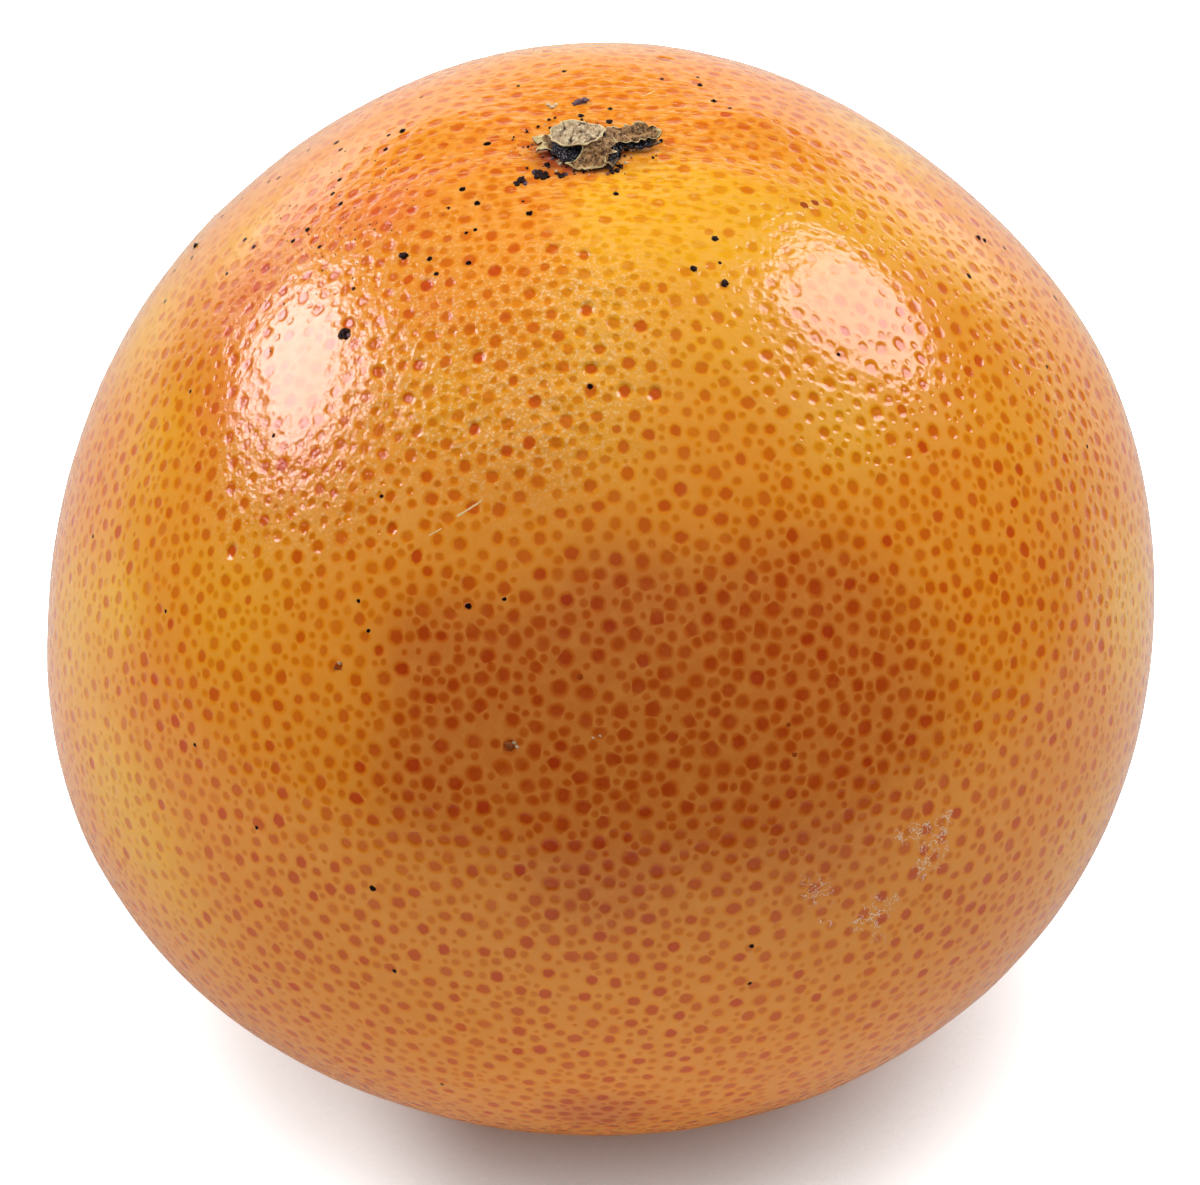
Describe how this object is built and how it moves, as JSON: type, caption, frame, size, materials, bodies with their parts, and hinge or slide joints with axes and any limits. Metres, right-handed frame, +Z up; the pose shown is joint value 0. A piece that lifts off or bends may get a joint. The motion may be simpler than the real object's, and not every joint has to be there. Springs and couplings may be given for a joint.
{
  "type": "grapefruit",
  "caption": "Whole round citrus fruit with a pored, speckled orange rind, a dried calyx and a stub of its stalk in a shallow basin, resting on a small flat spot.",
  "frame": {"origin": "on the surface that the fruit rests on, under the middle of the fruit, at the centre of the flat spot", "axes": "+Z up from the resting spot to the stalk, +X to the right and +Y away from the viewer of the picture"},
  "size_m": [0.1052, 0.1047, 0.1015],
  "materials": {
    "rind": "waxy, dimpled citrus rind, golden orange with red-brown oil-gland spots and a red blush",
    "dried_calyx": "dry, wrinkled and ragged, grey-brown with sooty patches",
    "stalk_wood": "pale dry broken wood, pitted and cracked"
  },
  "bodies": {
    "root": {"fruit": "rind", "calyx": "dried_calyx", "stem_stub": "stalk_wood"}
  },
  "joints": []
}
